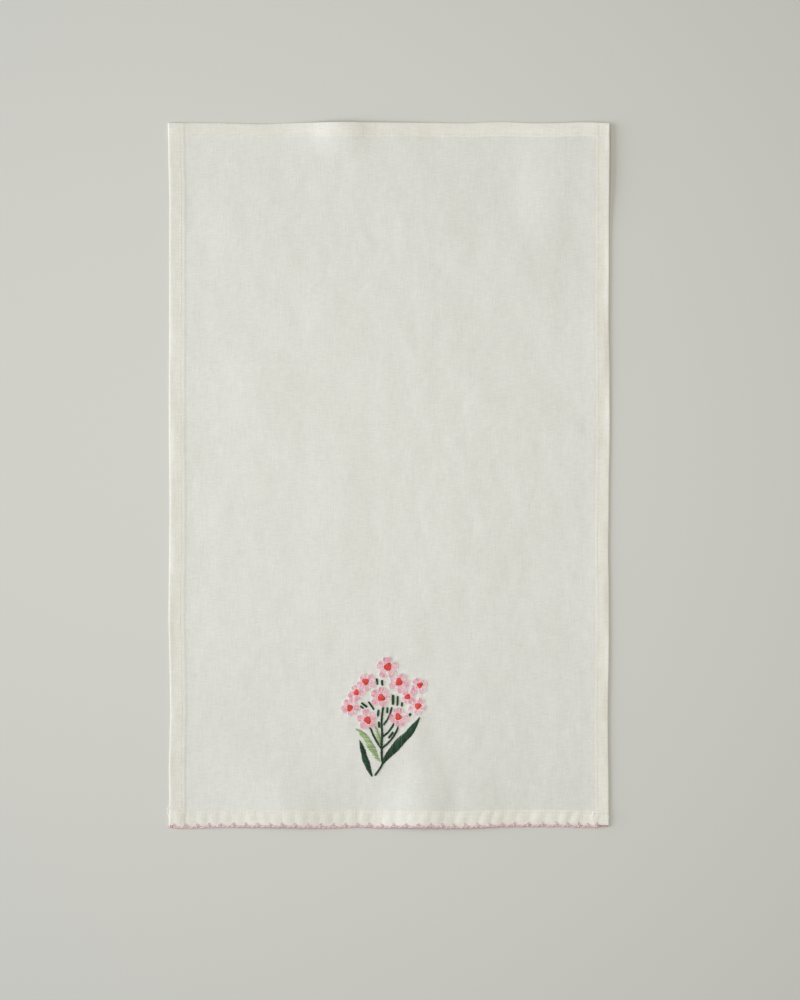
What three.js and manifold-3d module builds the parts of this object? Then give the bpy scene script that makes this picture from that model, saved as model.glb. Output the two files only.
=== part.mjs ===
// A hemmed tea towel laid out flat, face up, with a yarn-stitched bottom edge and an embroidered
// flower sprig above it. Millimetres, +Z up. The origin lies under the middle of the towel, on the
// surface that it rests on; +X runs to the right-hand hem and +Y to the plain top hem.
import * as THREE from "three";
import { mergeVertices } from "three/addons/utils/BufferGeometryUtils.js";
import Module from "manifold-3d";

const wasm = await Module();
wasm.setup();

// Driving dimensions of the cloth.
const width = 444.6;
const length = 710.1;
const fieldThick = 1.0;
const hemThick = 1.4;
const cornerThick = 1.8;
const hemWidth = 14.5;
const hemStep = 2.5; // width of the slope from a hem down to the field
const rimRound = 1.2; // how far the rounding of a folded edge reaches inwards
const rimShare = 0.28; // share of the thickness that the rounding takes off each face
const restLift = 0.1; // the cloth touches the surface at its thick corners and lies this far above it
const restReach = 30; // the rise from a corner to that height takes this long
const halfWidth = width / 2;
const halfLength = length / 2;

// The yarn sewn over the bottom edge: a run from stitch to stitch and a short leg at each stitch.
// Hand stitches stand unevenly: so many gaps at each pitch, from the left.
const firstStitch = -216.6;
const stitchGaps = [
  { gaps: 4, pitch: 11.4 },
  { gaps: 12, pitch: 12.6 },
  { gaps: 12, pitch: 12.1 },
  { gaps: 3, pitch: 14.5 },
  { gaps: 2, pitch: 11.4 },
  { gaps: 2, pitch: 8.7 },
];
const lobeDepth = 1.4; // how far the edge swells out between two stitches
const lobeReach = 9; // the cloth follows that swelling this far in
const lobePuff = 0.5; // how far the hem swells up between two stitches
const yarnRadius = 1.1;
const yarnTail = 3; // the run goes on this far past the last stitch
const yarnDraw = 0.45; // share of an indent in the edge that the run follows
const legRadius = 0.5;
const legReach = 3.0;
const legLean = 1.3;
const clearance = 0.3;

// The embroidery lies clear of the cloth, and its pieces lie clear of each other.
const threadBase = fieldThick + restLift + clearance + 0.15;
const threadHeight = 0.7;
const threadGap = 0.4;

const colours = {
  cloth: 0xdedcd1,
  yarn: 0xe3a9b8,
  petal: 0xe9b3c6,
  heart: 0xdd4443,
  darkGreen: 0x1f4632,
  lightGreen: 0x9cb678,
};

// How far each edge wanders out of its straight line. at runs along the edge, out points outwards.
const leftDrift = [
  { at: -355, out: 0.6 },
  { at: -330, out: 0.0 },
  { at: -300, out: 0.4 },
  { at: -269, out: -0.3 },
  { at: -240, out: -1.0 },
  { at: -208, out: -0.5 },
  { at: -180, out: 0.0 },
  { at: -148, out: 0.8 },
  { at: -120, out: 0.6 },
  { at: -87, out: 0.1 },
  { at: -26, out: -0.3 },
  { at: 0, out: 0.0 },
  { at: 34, out: 0.4 },
  { at: 95, out: 0.4 },
  { at: 156, out: 0.0 },
  { at: 220, out: -0.1 },
  { at: 277, out: -0.1 },
  { at: 325, out: 0.9 },
  { at: 355, out: 1.6 },
];
const rightDrift = [
  { at: -355, out: 0.0 },
  { at: -330, out: -0.2 },
  { at: -250, out: -1.0 },
  { at: -165, out: 0.1 },
  { at: -120, out: 0.0 },
  { at: -80, out: -0.6 },
  { at: -26, out: 0.0 },
  { at: 50, out: 0.9 },
  { at: 95, out: 0.7 },
  { at: 155, out: -0.2 },
  { at: 216, out: 0.2 },
  { at: 260, out: 0.1 },
  { at: 338, out: 0.5 },
  { at: 355, out: 0.6 },
];
const topDrift = [
  { at: -222, out: 0.0 },
  { at: -175, out: -0.2 },
  { at: -131, out: -1.2 },
  { at: -84, out: 0.0 },
  { at: -46, out: 0.1 },
  { at: 10, out: 0.0 },
  { at: 51, out: 0.0 },
  { at: 72, out: -0.4 },
  { at: 112, out: 0.9 },
  { at: 150, out: -0.4 },
  { at: 164, out: -0.4 },
  { at: 195, out: 0.5 },
  { at: 222, out: -0.3 },
];
const bottomDrift = [
  { at: -222, out: 0.2 },
  { at: -209, out: 0.4 },
  { at: -184, out: 0.0 },
  { at: -155, out: -0.7 },
  { at: -125, out: -0.9 },
  { at: -105, out: -0.9 },
  { at: -83, out: -0.1 },
  { at: -58, out: 0.3 },
  { at: -33, out: -0.6 },
  { at: -7, out: 0.0 },
  { at: 18, out: -0.7 },
  { at: 43, out: -0.6 },
  { at: 69, out: 0.2 },
  { at: 94, out: -0.6 },
  { at: 119, out: -1.4 },
  { at: 170, out: -1.3 },
  { at: 195, out: -0.6 },
  { at: 222, out: 0.2 },
];
const driftReach = 60; // the cloth follows its edge's drift this far in

// Soft ridges where the cloth stands off the surface: middle, direction of the crest in degrees
// from +X, half length, half width and height.
const ridges = [
  { x: 30, y: -350, turn: 90, reach: 64, half: 40, high: 3.0 },
  { x: 60, y: -352, turn: 90, reach: 62, half: 100, high: 1.6 },
  { x: -105, y: -350, turn: 92, reach: 80, half: 65, high: 2.0 },
  { x: -3, y: -342, turn: 90, reach: 36, half: 10, high: 0.4 },
  { x: 159, y: 285, turn: 90, reach: 80, half: 34, high: 0.9 },
  { x: 190, y: 276, turn: 90, reach: 74, half: 60, high: 0.4 },
  { x: -49, y: 352, turn: -70, reach: 42, half: 34, high: 2.6 },
  { x: -15, y: 352, turn: 90, reach: 32, half: 70, high: 0.9 },
  { x: -136, y: 100, turn: 90, reach: 215, half: 52, high: 0.8 },
  { x: -54, y: -25, turn: 90, reach: 200, half: 40, high: 0.35 },
  { x: 206, y: 150, turn: 90, reach: 170, half: 34, high: 0.6 },
  { x: 190, y: 35, turn: -35, reach: 40, half: 20, high: 0.5 },
];

// The embroidered sprig, measured from the foot of its stem. Each flower head: its middle, its
// radius, its petals, and how far its petals and its heart are turned, in degrees.
const sprigFoot = { x: -15, y: -306 };
const flowers = [
  { x: 13, y: 110, radius: 11.2, petals: 5, turn: 20, heart: 60 },
  { x: -8, y: 95.5, radius: 9.6, petals: 5, turn: 50, heart: 150 },
  { x: 25, y: 94.5, radius: 10.6, petals: 5, turn: -8, heart: 95 },
  { x: 45, y: 92, radius: 8.4, petals: 4, turn: 30, heart: 30 },
  { x: -18.5, y: 84, radius: 8.2, petals: 4, turn: 12, heart: 80 },
  { x: 6, y: 80, radius: 10.4, petals: 5, turn: 5, heart: 340 },
  { x: 34.5, y: 81, radius: 8.2, petals: 4, turn: 40, heart: 200 },
  { x: -24.5, y: 70.5, radius: 9.2, petals: 5, turn: 62, heart: 250 },
  { x: 43, y: 71, radius: 9.2, petals: 5, turn: -15, heart: 20 },
  { x: -7.5, y: 58, radius: 10.4, petals: 5, turn: 25, heart: 300 },
  { x: 24.5, y: 59.5, radius: 9.8, petals: 4, turn: 0, heart: 110 },
];
const petalWaist = 0.7; // how far in the outline runs between two petals, as a share of the radius
const heartShare = 0.37; // a heart's radius over its flower's
const heartShift = 1.1; // a heart sits this far off the middle of its flower
const heartWave = 0.14; // how much a heart swells towards its three corners
const heartStretch = 0.1; // how much longer than wide a heart is, either way from its mean

// Stems, short dashes and leaves run from one point to another and bow sideways by bend. A leaf
// also swings by wave, first to its left and then to its right.
const stems = [
  { fromX: 0, fromY: 1, toX: 9, toY: 15, bend: 0.8, wide: 2.0 },
  { fromX: 8, fromY: 13, toX: 8, toY: 44, bend: -0.8, wide: 2.6 },
  { fromX: 8, fromY: 27, toX: -4.5, toY: 50, bend: -1.0, wide: 2.0 },
  { fromX: 8, fromY: 29, toX: 25, toY: 53, bend: 2.5, wide: 2.1 },
  { fromX: 8, fromY: 40, toX: 20, toY: 54, bend: 1.2, wide: 2.0 },
  { fromX: 8, fromY: 42, toX: 9, toY: 71, bend: -1.2, wide: 2.4 },
  { fromX: 9, fromY: 52, toX: 17.5, toY: 70, bend: 1.5, wide: 2.0 },
];
const dashes = [
  { fromX: 18.6, fromY: 72, toX: 18.8, toY: 83.5, bend: 0.3, wide: 2.6 },
  { fromX: 23, fromY: 71, toX: 23.4, toY: 82, bend: 0.8, wide: 1.9 },
  { fromX: -13.5, fromY: 75, toX: -7, toY: 70, bend: 0.4, wide: 2.3 },
  { fromX: -6.5, fromY: 76.5, toX: 0, toY: 67, bend: -0.4, wide: 1.8 },
  { fromX: 2.8, fromY: 92.5, toX: 2.3, toY: 99.5, bend: 0.3, wide: 2.2 },
  { fromX: 8, fromY: 91.5, toX: 7.6, toY: 98, bend: 0.3, wide: 2.2 },
  { fromX: 34.5, fromY: 61, toX: 37, toY: 64, bend: 0.3, wide: 2.2 },
  { fromX: 13.8, fromY: 38.4, toX: 19.3, toY: 45.5, bend: 0.3, wide: 2.3 },
  { fromX: 4.6, fromY: 49, toX: 4.4, toY: 56, bend: 0.2, wide: 2.2 },
  { fromX: 3.4, fromY: 60.5, toX: 4.2, toY: 68.2, bend: 0.3, wide: 2.0 },
  { fromX: 12.8, fromY: 63.5, toX: 13.2, toY: 70.5, bend: -0.2, wide: 1.9 },
  { fromX: 27.4, fromY: 70.5, toX: 28.2, toY: 75.5, bend: 0.2, wide: 1.9 },
  { fromX: -14.6, fromY: 71.6, toX: -10.6, toY: 68.7, bend: 0.2, wide: 1.8 },
];
const largeLeaf = { fromX: 7, fromY: 12, toX: 46, toY: 60, bend: 0.6, wave: 1.4, wide: 9.4 };
const darkLeaf = { fromX: -2.5, fromY: 0, toX: -15, toY: 37, bend: -0.6, wave: 0.5, wide: 6.6 };
const lightLeaves = [
  { fromX: 5, fromY: 15, toX: -19, toY: 49, bend: 2.4, wave: 1.0, wide: 7.6 },
  { fromX: 5.6, fromY: 30, toX: 0.6, toY: 52, bend: 0.8, wave: 0, wide: 3.4 },
];
const leafTip = 0.12; // a leaf's width at its ends, as a share of its greatest width

const hump = (t) => (Math.abs(t) < 1 ? (1 - t * t) ** 2 : 0);
const ramp = (t) => THREE.MathUtils.smoothstep(t, 0, 1);
const radians = THREE.MathUtils.degToRad;
const lerp = THREE.MathUtils.lerp;

// The wander of an edge at a place along it, eased between the rows of its table.
function driftAt(table, at) {
  if (at <= table[0].at) return table[0].out;
  if (at >= table.at(-1).at) return table.at(-1).out;
  const next = table.findIndex((row) => row.at > at);
  const [a, b] = [table[next - 1], table[next]];
  return lerp(a.out, b.out, ramp((at - a.at) / (b.at - a.at)));
}

function liftAt(x, y) {
  let lift = 0;
  for (const ridge of ridges) {
    const [dx, dy] = [x - ridge.x, y - ridge.y];
    const [c, s] = [Math.cos(radians(ridge.turn)), Math.sin(radians(ridge.turn))];
    const along = (dx * c + dy * s) / ridge.reach;
    const across = (dy * c - dx * s) / ridge.half;
    lift += ridge.high * hump(along) * hump(across);
  }
  return lift;
}

// Where the yarn's stitches bite into the bottom edge.
const stitchX = [firstStitch];
for (const { gaps, pitch } of stitchGaps) {
  for (let n = 0; n < gaps; n += 1) stitchX.push(stitchX.at(-1) + pitch);
}

// 0 at a stitch and 1 in the middle of the lobe between two stitches.
function lobeAt(x) {
  const next = stitchX.findIndex((stitch) => stitch > x);
  if (next < 1) return 0;
  const share = (x - stitchX[next - 1]) / (stitchX[next] - stitchX[next - 1]);
  return Math.sin(Math.PI * share) ** 0.75;
}

// How far the cloth's underside lies above the surface, rising from the cloth's four corners.
function restAt(planX, planY) {
  const sideGap = Math.max(0, halfWidth - rimRound - Math.abs(planX));
  const endGap = Math.max(0, halfLength - rimRound - Math.abs(planY));
  return restLift * Math.min(1, Math.hypot(sideGap, endGap) / restReach);
}

// The cloth's own straight-edged plan to where each point really lies.
function placed(planX, planY) {
  const pull = (gap) => hump(Math.min(1, gap / driftReach));
  const lobe = lobeDepth * lobeAt(planX) * hump((halfLength + planY) / lobeReach);
  const toLeft = pull(halfWidth + planX) * driftAt(leftDrift, planY);
  const toRight = pull(halfWidth - planX) * driftAt(rightDrift, planY);
  const upward = pull(halfLength - planY) * driftAt(topDrift, planX);
  const downward = pull(halfLength + planY) * driftAt(bottomDrift, planX) + lobe;
  return { x: planX - toLeft + toRight, y: planY + upward - downward };
}

function thickAt(planX, planY) {
  const sideGap = halfWidth - Math.abs(planX);
  const endGap = halfLength - Math.abs(planY);
  const side = 1 - ramp((sideGap - hemWidth) / hemStep);
  const end = 1 - ramp((endGap - hemWidth) / hemStep);
  const hem = (hemThick - fieldThick) * Math.max(side, end);
  return fieldThick + hem + (cornerThick - hemThick) * side * end;
}

// How far the bottom hem swells up between the stitches.
function puffAt(planX, planY) {
  const share = (halfLength + planY) / hemWidth;
  return share < 1 ? lobePuff * lobeAt(planX) * Math.sin(Math.PI * share ** 0.7) : 0;
}

// So many places for each lobe of the bottom hem.
function placesPerLobe(count) {
  const places = [...stitchX];
  for (let k = 1; k < stitchX.length; k += 1) {
    for (let n = 1; n < count; n += 1) places.push(lerp(stitchX[k - 1], stitchX[k], n / count));
  }
  return places;
}

function evenPlaces(pitch) {
  const count = Math.round(width / pitch);
  return Array.from({ length: count - 1 }, (_, k) => ((k + 1) / count - 0.5) * width);
}

// A row's places: the folded edges and hem steps at both sides, and the given places between.
function acrossOf(between) {
  const sides = [0, rimRound, hemWidth, hemWidth + hemStep].map((gap) => halfWidth - gap);
  const fixed = sides.flatMap((side) => [-side, side]);
  const clear = between.filter((x) => fixed.every((f) => Math.abs(f - x) > rimRound));
  return [...fixed, ...clear].sort((a, b) => a - b);
}

// The rows of the cloth from its bottom edge up, closer together and finer near that edge.
function clothRows() {
  const bottomRows = [
    { up: 0, across: acrossOf(placesPerLobe(4)) },
    { up: rimRound, across: acrossOf(placesPerLobe(4)) },
    { up: 5, across: acrossOf(placesPerLobe(2)) },
    { up: 10, across: acrossOf(placesPerLobe(2)) },
    { up: hemWidth, across: acrossOf(placesPerLobe(2)) },
    { up: hemWidth + hemStep, across: acrossOf(placesPerLobe(1)) },
    { up: 29, across: acrossOf(placesPerLobe(1)) },
    { up: 42, across: acrossOf(placesPerLobe(1)) },
  ];
  const fieldPitch = 22;
  const across = acrossOf(evenPlaces(17));
  const start = bottomRows.at(-1).up;
  const end = length - hemWidth - hemStep;
  const steps = Math.round((end - start) / fieldPitch);
  const fieldRows = Array.from({ length: steps }, (_, k) => {
    return { up: lerp(start, end, (k + 1) / steps), across };
  });
  const topRows = [hemWidth, rimRound, 0].map((gap) => ({ up: length - gap, across }));
  return [...bottomRows, ...fieldRows, ...topRows];
}

// Triangles between two rows of points, whatever number each has, wound to face up.
function zipRows(lower, upper) {
  const triangles = [];
  let [i, j] = [0, 0];
  while (i < lower.length - 1 || j < upper.length - 1) {
    const lowerNext = i < lower.length - 1 ? lower[i + 1].planX : Infinity;
    const upperNext = j < upper.length - 1 ? upper[j + 1].planX : Infinity;
    if (lowerNext <= upperNext) {
      triangles.push([lower[i].id, lower[i + 1].id, upper[j].id]);
      i += 1;
    } else {
      triangles.push([lower[i].id, upper[j + 1].id, upper[j].id]);
      j += 1;
    }
  }
  return triangles;
}

function clothGeometry() {
  const [tops, undersides] = [[], []];
  const rows = clothRows().map(({ up, across }) => {
    const planY = up - halfLength;
    return across.map((planX) => {
      const { x, y } = placed(planX, planY);
      const lift = liftAt(x, y) + restAt(planX, planY);
      const thick = thickAt(planX, planY);
      const toRim = Math.min(halfWidth - Math.abs(planX), halfLength - Math.abs(planY));
      const round = toRim < rimRound / 2 ? rimShare * thick : 0;
      tops.push(x, y, lift + thick - round + puffAt(planX, planY));
      undersides.push(x, y, lift + round);
      return { planX, id: tops.length / 3 - 1 };
    });
  });
  const count = tops.length / 3;
  const index = [];
  for (let k = 1; k < rows.length; k += 1) {
    for (const [a, b, c] of zipRows(rows[k - 1], rows[k])) {
      index.push(a, b, c, c + count, b + count, a + count);
    }
  }
  const ids = rows.map((row) => row.map((point) => point.id));
  const middle = ids.slice(1, -1);
  const rightSide = middle.map((row) => row.at(-1));
  const leftSide = middle.map((row) => row[0]).reverse();
  const rim = [...ids[0], ...rightSide, ...ids.at(-1).toReversed(), ...leftSide];
  rim.forEach((a, k) => {
    const b = rim[(k + 1) % rim.length];
    index.push(a, a + count, b, b, a + count, b + count);
  });
  const geometry = new THREE.BufferGeometry();
  geometry.setAttribute("position", new THREE.Float32BufferAttribute([...tops, ...undersides], 3));
  geometry.setIndex(index);
  return geometry;
}

function solidOf(geometry) {
  const bare = geometry.clone();
  bare.deleteAttribute("normal");
  bare.deleteAttribute("uv");
  const merged = mergeVertices(bare, 1e-4);
  return new wasm.Manifold(
    new wasm.Mesh({
      numProp: 3,
      vertProperties: merged.attributes.position.array,
      triVerts: new Uint32Array(merged.index.array),
    }),
  );
}

function geometryOf(solid) {
  const mesh = solid.getMesh();
  const geometry = new THREE.BufferGeometry();
  geometry.setAttribute("position", new THREE.BufferAttribute(mesh.vertProperties, 3));
  geometry.setIndex(new THREE.BufferAttribute(mesh.triVerts, 1));
  return geometry;
}

function tubeSolid(points, radius, sides, steps) {
  const corners = Array.from({ length: sides }, (_, k) => {
    const angle = (2 * Math.PI * k) / sides;
    return new THREE.Vector2(radius * Math.cos(angle), radius * Math.sin(angle));
  });
  const extrudePath = new THREE.CatmullRomCurve3(points);
  return solidOf(new THREE.ExtrudeGeometry(new THREE.Shape(corners), { steps, extrudePath }));
}

// The run of yarn lies against the bottom edge, drawn in a little at each stitch.
function yarnPoint(planX) {
  const edge = placed(planX, -halfLength);
  const indent = lobeDepth * (1 - lobeAt(planX));
  const y = edge.y - clearance - yarnRadius - yarnDraw * indent;
  const z = liftAt(edge.x, edge.y) + restLift + yarnRadius + 0.05;
  return new THREE.Vector3(edge.x, y, z);
}

// The short leg from the run up over the edge onto the hem, leaning as hand stitches do.
function yarnLeg(planX, k) {
  const edge = placed(planX, -halfLength);
  const lean = legLean * Math.sin(0.8 * k + 4);
  const hemTop = restLift + thickAt(planX + Math.abs(lean), -halfLength);
  const onHem = hemTop + 2 * clearance + legRadius;
  const foot = yarnPoint(planX);
  const [tipX, tipY] = [edge.x + lean, edge.y + legReach];
  return [
    new THREE.Vector3(foot.x, foot.y, foot.z + 0.3),
    new THREE.Vector3(edge.x, edge.y - 0.4, liftAt(edge.x, edge.y) + onHem),
    new THREE.Vector3(tipX, tipY, liftAt(tipX, tipY) + onHem),
  ];
}

function yarnSolid() {
  const corner = placed(-halfWidth, -halfLength);
  const wrap = yarnRadius + clearance + 0.4;
  const run = [new THREE.Vector3(corner.x - 0.9, corner.y - wrap, yarnPoint(-halfWidth).z)];
  stitchX.forEach((x, k) => {
    if (k > 0) run.push(yarnPoint((stitchX[k - 1] + x) / 2));
    run.push(yarnPoint(x));
  });
  run.push(yarnPoint(stitchX.at(-1) + yarnTail));
  const whole = tubeSolid(run, yarnRadius, 6, 4 * stitchX.length);
  return stitchX
    .map((x, k) => tubeSolid(yarnLeg(x, k), legRadius, 4, 2))
    .reduce((solid, leg) => solid.add(leg), whole);
}

// A flat raised patch of stitching with this outline.
function patchSolid(outline, tall = threadHeight, base = threadBase) {
  const shape = new THREE.Shape(outline.map(([x, y]) => new THREE.Vector2(x, y)));
  const geometry = new THREE.ExtrudeGeometry(shape, { depth: tall, bevelEnabled: false });
  geometry.translate(sprigFoot.x, sprigFoot.y, base);
  return solidOf(geometry);
}

function flowerOutline(flower, grow = 0) {
  const count = 6 * flower.petals;
  return Array.from({ length: count }, (_, k) => {
    const petal = Math.abs(Math.cos((Math.PI * flower.petals * k) / count)) ** 0.8;
    const reach = flower.radius * lerp(petalWaist, 1, petal) + grow;
    const angle = radians(flower.turn) + (2 * Math.PI * k) / count;
    return [flower.x + reach * Math.cos(angle), flower.y + reach * Math.sin(angle)];
  });
}

function heartOutline(flower, grow = 0) {
  const count = 12;
  const turn = radians(flower.heart);
  const middleX = flower.x + heartShift * Math.cos(turn);
  const middleY = flower.y + heartShift * Math.sin(turn);
  return Array.from({ length: count }, (_, k) => {
    const angle = (2 * Math.PI * k) / count;
    const round = 1 + heartWave * Math.cos(3 * (angle - turn));
    const long = 1 + heartStretch * Math.cos(2 * (angle - turn));
    const reach = flower.radius * heartShare * round * long + grow;
    return [middleX + reach * Math.cos(angle), middleY + reach * Math.sin(angle)];
  });
}

// A strip from one point to another. swell gives its width along the way.
function stripOutline(strip, steps, swell, grow) {
  const [dx, dy] = [strip.toX - strip.fromX, strip.toY - strip.fromY];
  const [sideX, sideY] = [-dy / Math.hypot(dx, dy), dx / Math.hypot(dx, dy)];
  const [left, right] = [[], []];
  for (let k = 0; k <= steps; k += 1) {
    const swing = (strip.wave ?? 0) * Math.sin((2 * Math.PI * k) / steps);
    const bow = swing - strip.bend * Math.sin((Math.PI * k) / steps);
    const x = strip.fromX + (dx * k) / steps + sideX * bow;
    const y = strip.fromY + (dy * k) / steps + sideY * bow;
    const half = (strip.wide / 2) * swell(k / steps) + grow;
    left.push([x + sideX * half, y + sideY * half]);
    right.push([x - sideX * half, y - sideY * half]);
  }
  return [...right, ...left.reverse()];
}

const stemOutline = (stem, grow = 0) => stripOutline(stem, 5, () => 1, grow);
const leafSwell = (t) => lerp(leafTip, 1, Math.sin(Math.PI * t ** 0.9));
const leafOutline = (leaf, grow = 0) => stripOutline(leaf, 10, leafSwell, grow);

const joined = (outlines) => outlines.map((o) => patchSolid(o)).reduce((a, b) => a.add(b));

// Cuts these outlines, already grown by their clearance, out of a patch and keeps what is left.
function clearOf(patch, outlines) {
  const cut = (rest, outline) => {
    return rest.subtract(patchSolid(outline, threadHeight + 2, threadBase - 1));
  };
  const bodies = outlines.reduce(cut, patch).decompose();
  return bodies.reduce((a, b) => (b.volume() > a.volume() ? b : a));
}

const aroundFlowers = flowers.map((flower) => flowerOutline(flower, threadGap));
const aroundStems = stems.map((stem) => stemOutline(stem, threadGap));
aroundStems.push(leafOutline(largeLeaf, threadGap));

function flowerSolid(flower, k) {
  const whole = patchSolid(flowerOutline(flower));
  return clearOf(whole, [heartOutline(flower, threadGap), ...aroundFlowers.slice(0, k)]);
}

function stemsSolid() {
  const outlines = [...stems.map((stem) => stemOutline(stem)), leafOutline(largeLeaf)];
  return clearOf(joined(outlines), aroundFlowers);
}

const towel = new THREE.Group();

function addPiece(name, geometry, color, roughness) {
  geometry.computeVertexNormals();
  const material = new THREE.MeshStandardMaterial({ color, roughness, metalness: 0 });
  const mesh = new THREE.Mesh(geometry, material);
  mesh.name = name;
  towel.add(mesh);
}

function addStitching(name, solid, color) {
  addPiece(name, geometryOf(solid), color, 0.6);
}

const numbered = (name, k) => `${name}_${String(k + 1).padStart(2, "0")}`;

addPiece("towel_cloth", clothGeometry(), colours.cloth, 0.95);
addPiece("edge_yarn", geometryOf(yarnSolid()), colours.yarn, 0.85);
flowers.forEach((flower, k) => {
  addStitching(numbered("flower", k), flowerSolid(flower, k), colours.petal);
  addStitching(numbered("heart", k), patchSolid(heartOutline(flower)), colours.heart);
});
addStitching("stems_and_leaf", stemsSolid(), colours.darkGreen);
addStitching("dark_leaf", patchSolid(leafOutline(darkLeaf)), colours.darkGreen);
dashes.forEach((dash, k) => {
  const solid = clearOf(patchSolid(stemOutline(dash)), [...aroundFlowers, ...aroundStems]);
  addStitching(numbered("dash", k), solid, colours.darkGreen);
});
lightLeaves.forEach((leaf, k) => {
  const solid = clearOf(patchSolid(leafOutline(leaf)), [...aroundFlowers, ...aroundStems]);
  addStitching(numbered("light_leaf", k), solid, colours.lightGreen);
});

// Bring the middle of the whole towel over the origin.
const middle = new THREE.Box3().setFromObject(towel).getCenter(new THREE.Vector3());
towel.position.set(-middle.x, -middle.y, 0);

export default towel;
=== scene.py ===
import math

import bpy
import numpy as np
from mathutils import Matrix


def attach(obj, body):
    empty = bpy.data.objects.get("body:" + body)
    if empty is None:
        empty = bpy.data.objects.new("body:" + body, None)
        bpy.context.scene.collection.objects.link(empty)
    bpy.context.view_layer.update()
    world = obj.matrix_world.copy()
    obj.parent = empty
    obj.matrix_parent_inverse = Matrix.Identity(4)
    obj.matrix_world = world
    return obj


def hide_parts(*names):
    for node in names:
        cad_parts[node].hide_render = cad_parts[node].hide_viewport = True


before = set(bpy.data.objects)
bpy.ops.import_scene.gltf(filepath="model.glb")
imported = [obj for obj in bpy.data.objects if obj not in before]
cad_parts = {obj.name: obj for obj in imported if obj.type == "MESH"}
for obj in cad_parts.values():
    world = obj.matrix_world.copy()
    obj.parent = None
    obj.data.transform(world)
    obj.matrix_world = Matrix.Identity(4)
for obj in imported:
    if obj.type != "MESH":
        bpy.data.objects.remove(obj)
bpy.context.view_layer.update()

# The visible model of a tea towel laid out flat: its woven cloth with sewn hems, the yarn over its
# bottom edge and the stitches of its embroidered sprig. Lengths are millimetres in the cloth's own
# frame, with the middle of the cloth at the origin, +X to the right-hand hem, +Y to the top hem.
MM = 0.001
SHIFT = np.array([0.355, 1.688, 0.0])  # from the cloth's frame to the CAD model's frame
chance = np.random.default_rng(41)

# The cloth, as in the CAD model.
HALF_WIDTH = 222.3
HALF_LENGTH = 355.05
FIELD_THICK = 1.0
HEM_THICK = 1.4
CORNER_THICK = 1.8
REST_LIFT = 0.1  # the cloth touches the floor at its corners and lies this far above it
REST_REACH = 30
HEM_WIDTH = 14.5
STEP_START = 0.6  # the step down from a hem begins this far past its inner edge
STEP_WIDTH = 2.5
SLOPE_WIDTH = 12  # the face comes down from a hem to the field over this width
LEFT_CRISP = 0.65  # how much of the way down from each hem is a step: the rest is a slope
RIGHT_CRISP = 0.15
END_CRISP = 0.3
LEFT_CURL = 0.35  # how far the outer edge of the left-hand hem stands up
TURNED_EDGE = 0.35  # height of the step at a hem's inner edge, on the back
TURNED_REACH = 9
RIM = 1.2  # the rounding of a folded edge reaches this far in
LEFT_RIM = 2.4
RIM_SHARE = 0.15  # of the thickness, left at the very edge
FLAT_RIM = 6  # the face's unevenness dies out over this width at the edges
DRIFT_REACH = 60  # an edge's wandering moves the cloth this far in

# The line of machine stitches round the hems.
SEAM_GAP = 11.7  # from the edge
SEAM_START = 1.8  # the first stitch is this far from the corner
SEAM_PITCH = 3.3
SEAM_LENGTH = 2.3
SEAM_RADIUS = 0.25
SEAM_SLANT = 0.12  # how far a stitch leans out of the line
SEAM_RISE = 0.3  # height of a stitch's middle above its ends
SEAM_SINK = 0.19
GROOVE_DEPTH = 0.05
GROOVE_SWAY = 0.015
GROOVE_HALF = 1.9
LOOSE_END_RADIUS = 0.24

# The yarn over the bottom edge: how many gaps between its stitches have which pitch.
FIRST_STITCH = -216.6
STITCH_GAPS = [(4, 11.4), (12, 12.6), (12, 12.1), (3, 14.5), (2, 11.4), (2, 8.7)]
LOBE_DEPTH = 1.4  # how far the edge stands out between two stitches
LOBE_REACH = 9
LOBE_PUFF = 0.5  # how high the hem swells between them
LOBE_LEANS = (-0.12, 0.45)  # of the folds in the hem, at its left and right ends
YARN_RADIUS = 1.1
PLY_SHARE = 0.53  # radius of a ply as a share of the yarn's
YARN_TINTS = [0.3, 0.6, 0.9]  # one for each ply
YARN_TWIST = 5.2  # a ply goes once round the yarn in this length
YARN_DRAW = 0.45  # how much of an indent in the edge the yarn fills
LEG_LEAN = 1.3
LEG_REACH = 2.3
LEG_RADIUS = 0.27
LEG_TWIST = 2.4
LOOP_RADIUS = 0.42
UNDER_RADIUS = 0.3
WRAP_RADIUS = 0.5
TAIL_RADIUS = 0.36

# How far each edge wanders out of its straight line: (place along the edge, outwards).
LEFT_DRIFT = [
    (-355, 0.6), (-330, 0.0), (-300, 0.4), (-269, -0.3), (-240, -1.0), (-208, -0.5), (-180, 0.0),
    (-148, 0.8), (-120, 0.6), (-87, 0.1), (-26, -0.3), (0, 0.0), (34, 0.4), (95, 0.4), (156, 0.0),
    (220, -0.1), (277, -0.1), (325, 0.9), (355, 1.6),
]
RIGHT_DRIFT = [
    (-355, 0.0), (-330, -0.2), (-250, -1.0), (-165, 0.1), (-120, 0.0), (-80, -0.6), (-26, 0.0),
    (50, 0.9), (95, 0.7), (155, -0.2), (216, 0.2), (260, 0.1), (338, 0.5), (355, 0.6),
]
TOP_DRIFT = [
    (-222, 0.0), (-175, -0.2), (-131, -1.2), (-84, 0.0), (-46, 0.1), (10, 0.0), (51, 0.0),
    (72, -0.4), (112, 0.9), (150, -0.4), (164, -0.4), (195, 0.5), (222, -0.3),
]
BOTTOM_DRIFT = [
    (-222, 0.2), (-209, 0.4), (-184, 0.0), (-155, -0.7), (-125, -0.9), (-105, -0.9), (-83, -0.1),
    (-58, 0.3), (-33, -0.6), (-7, 0.0), (18, -0.7), (43, -0.6), (69, 0.2), (94, -0.6), (119, -1.4),
    (170, -1.3), (195, -0.6), (222, 0.2),
]

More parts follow.
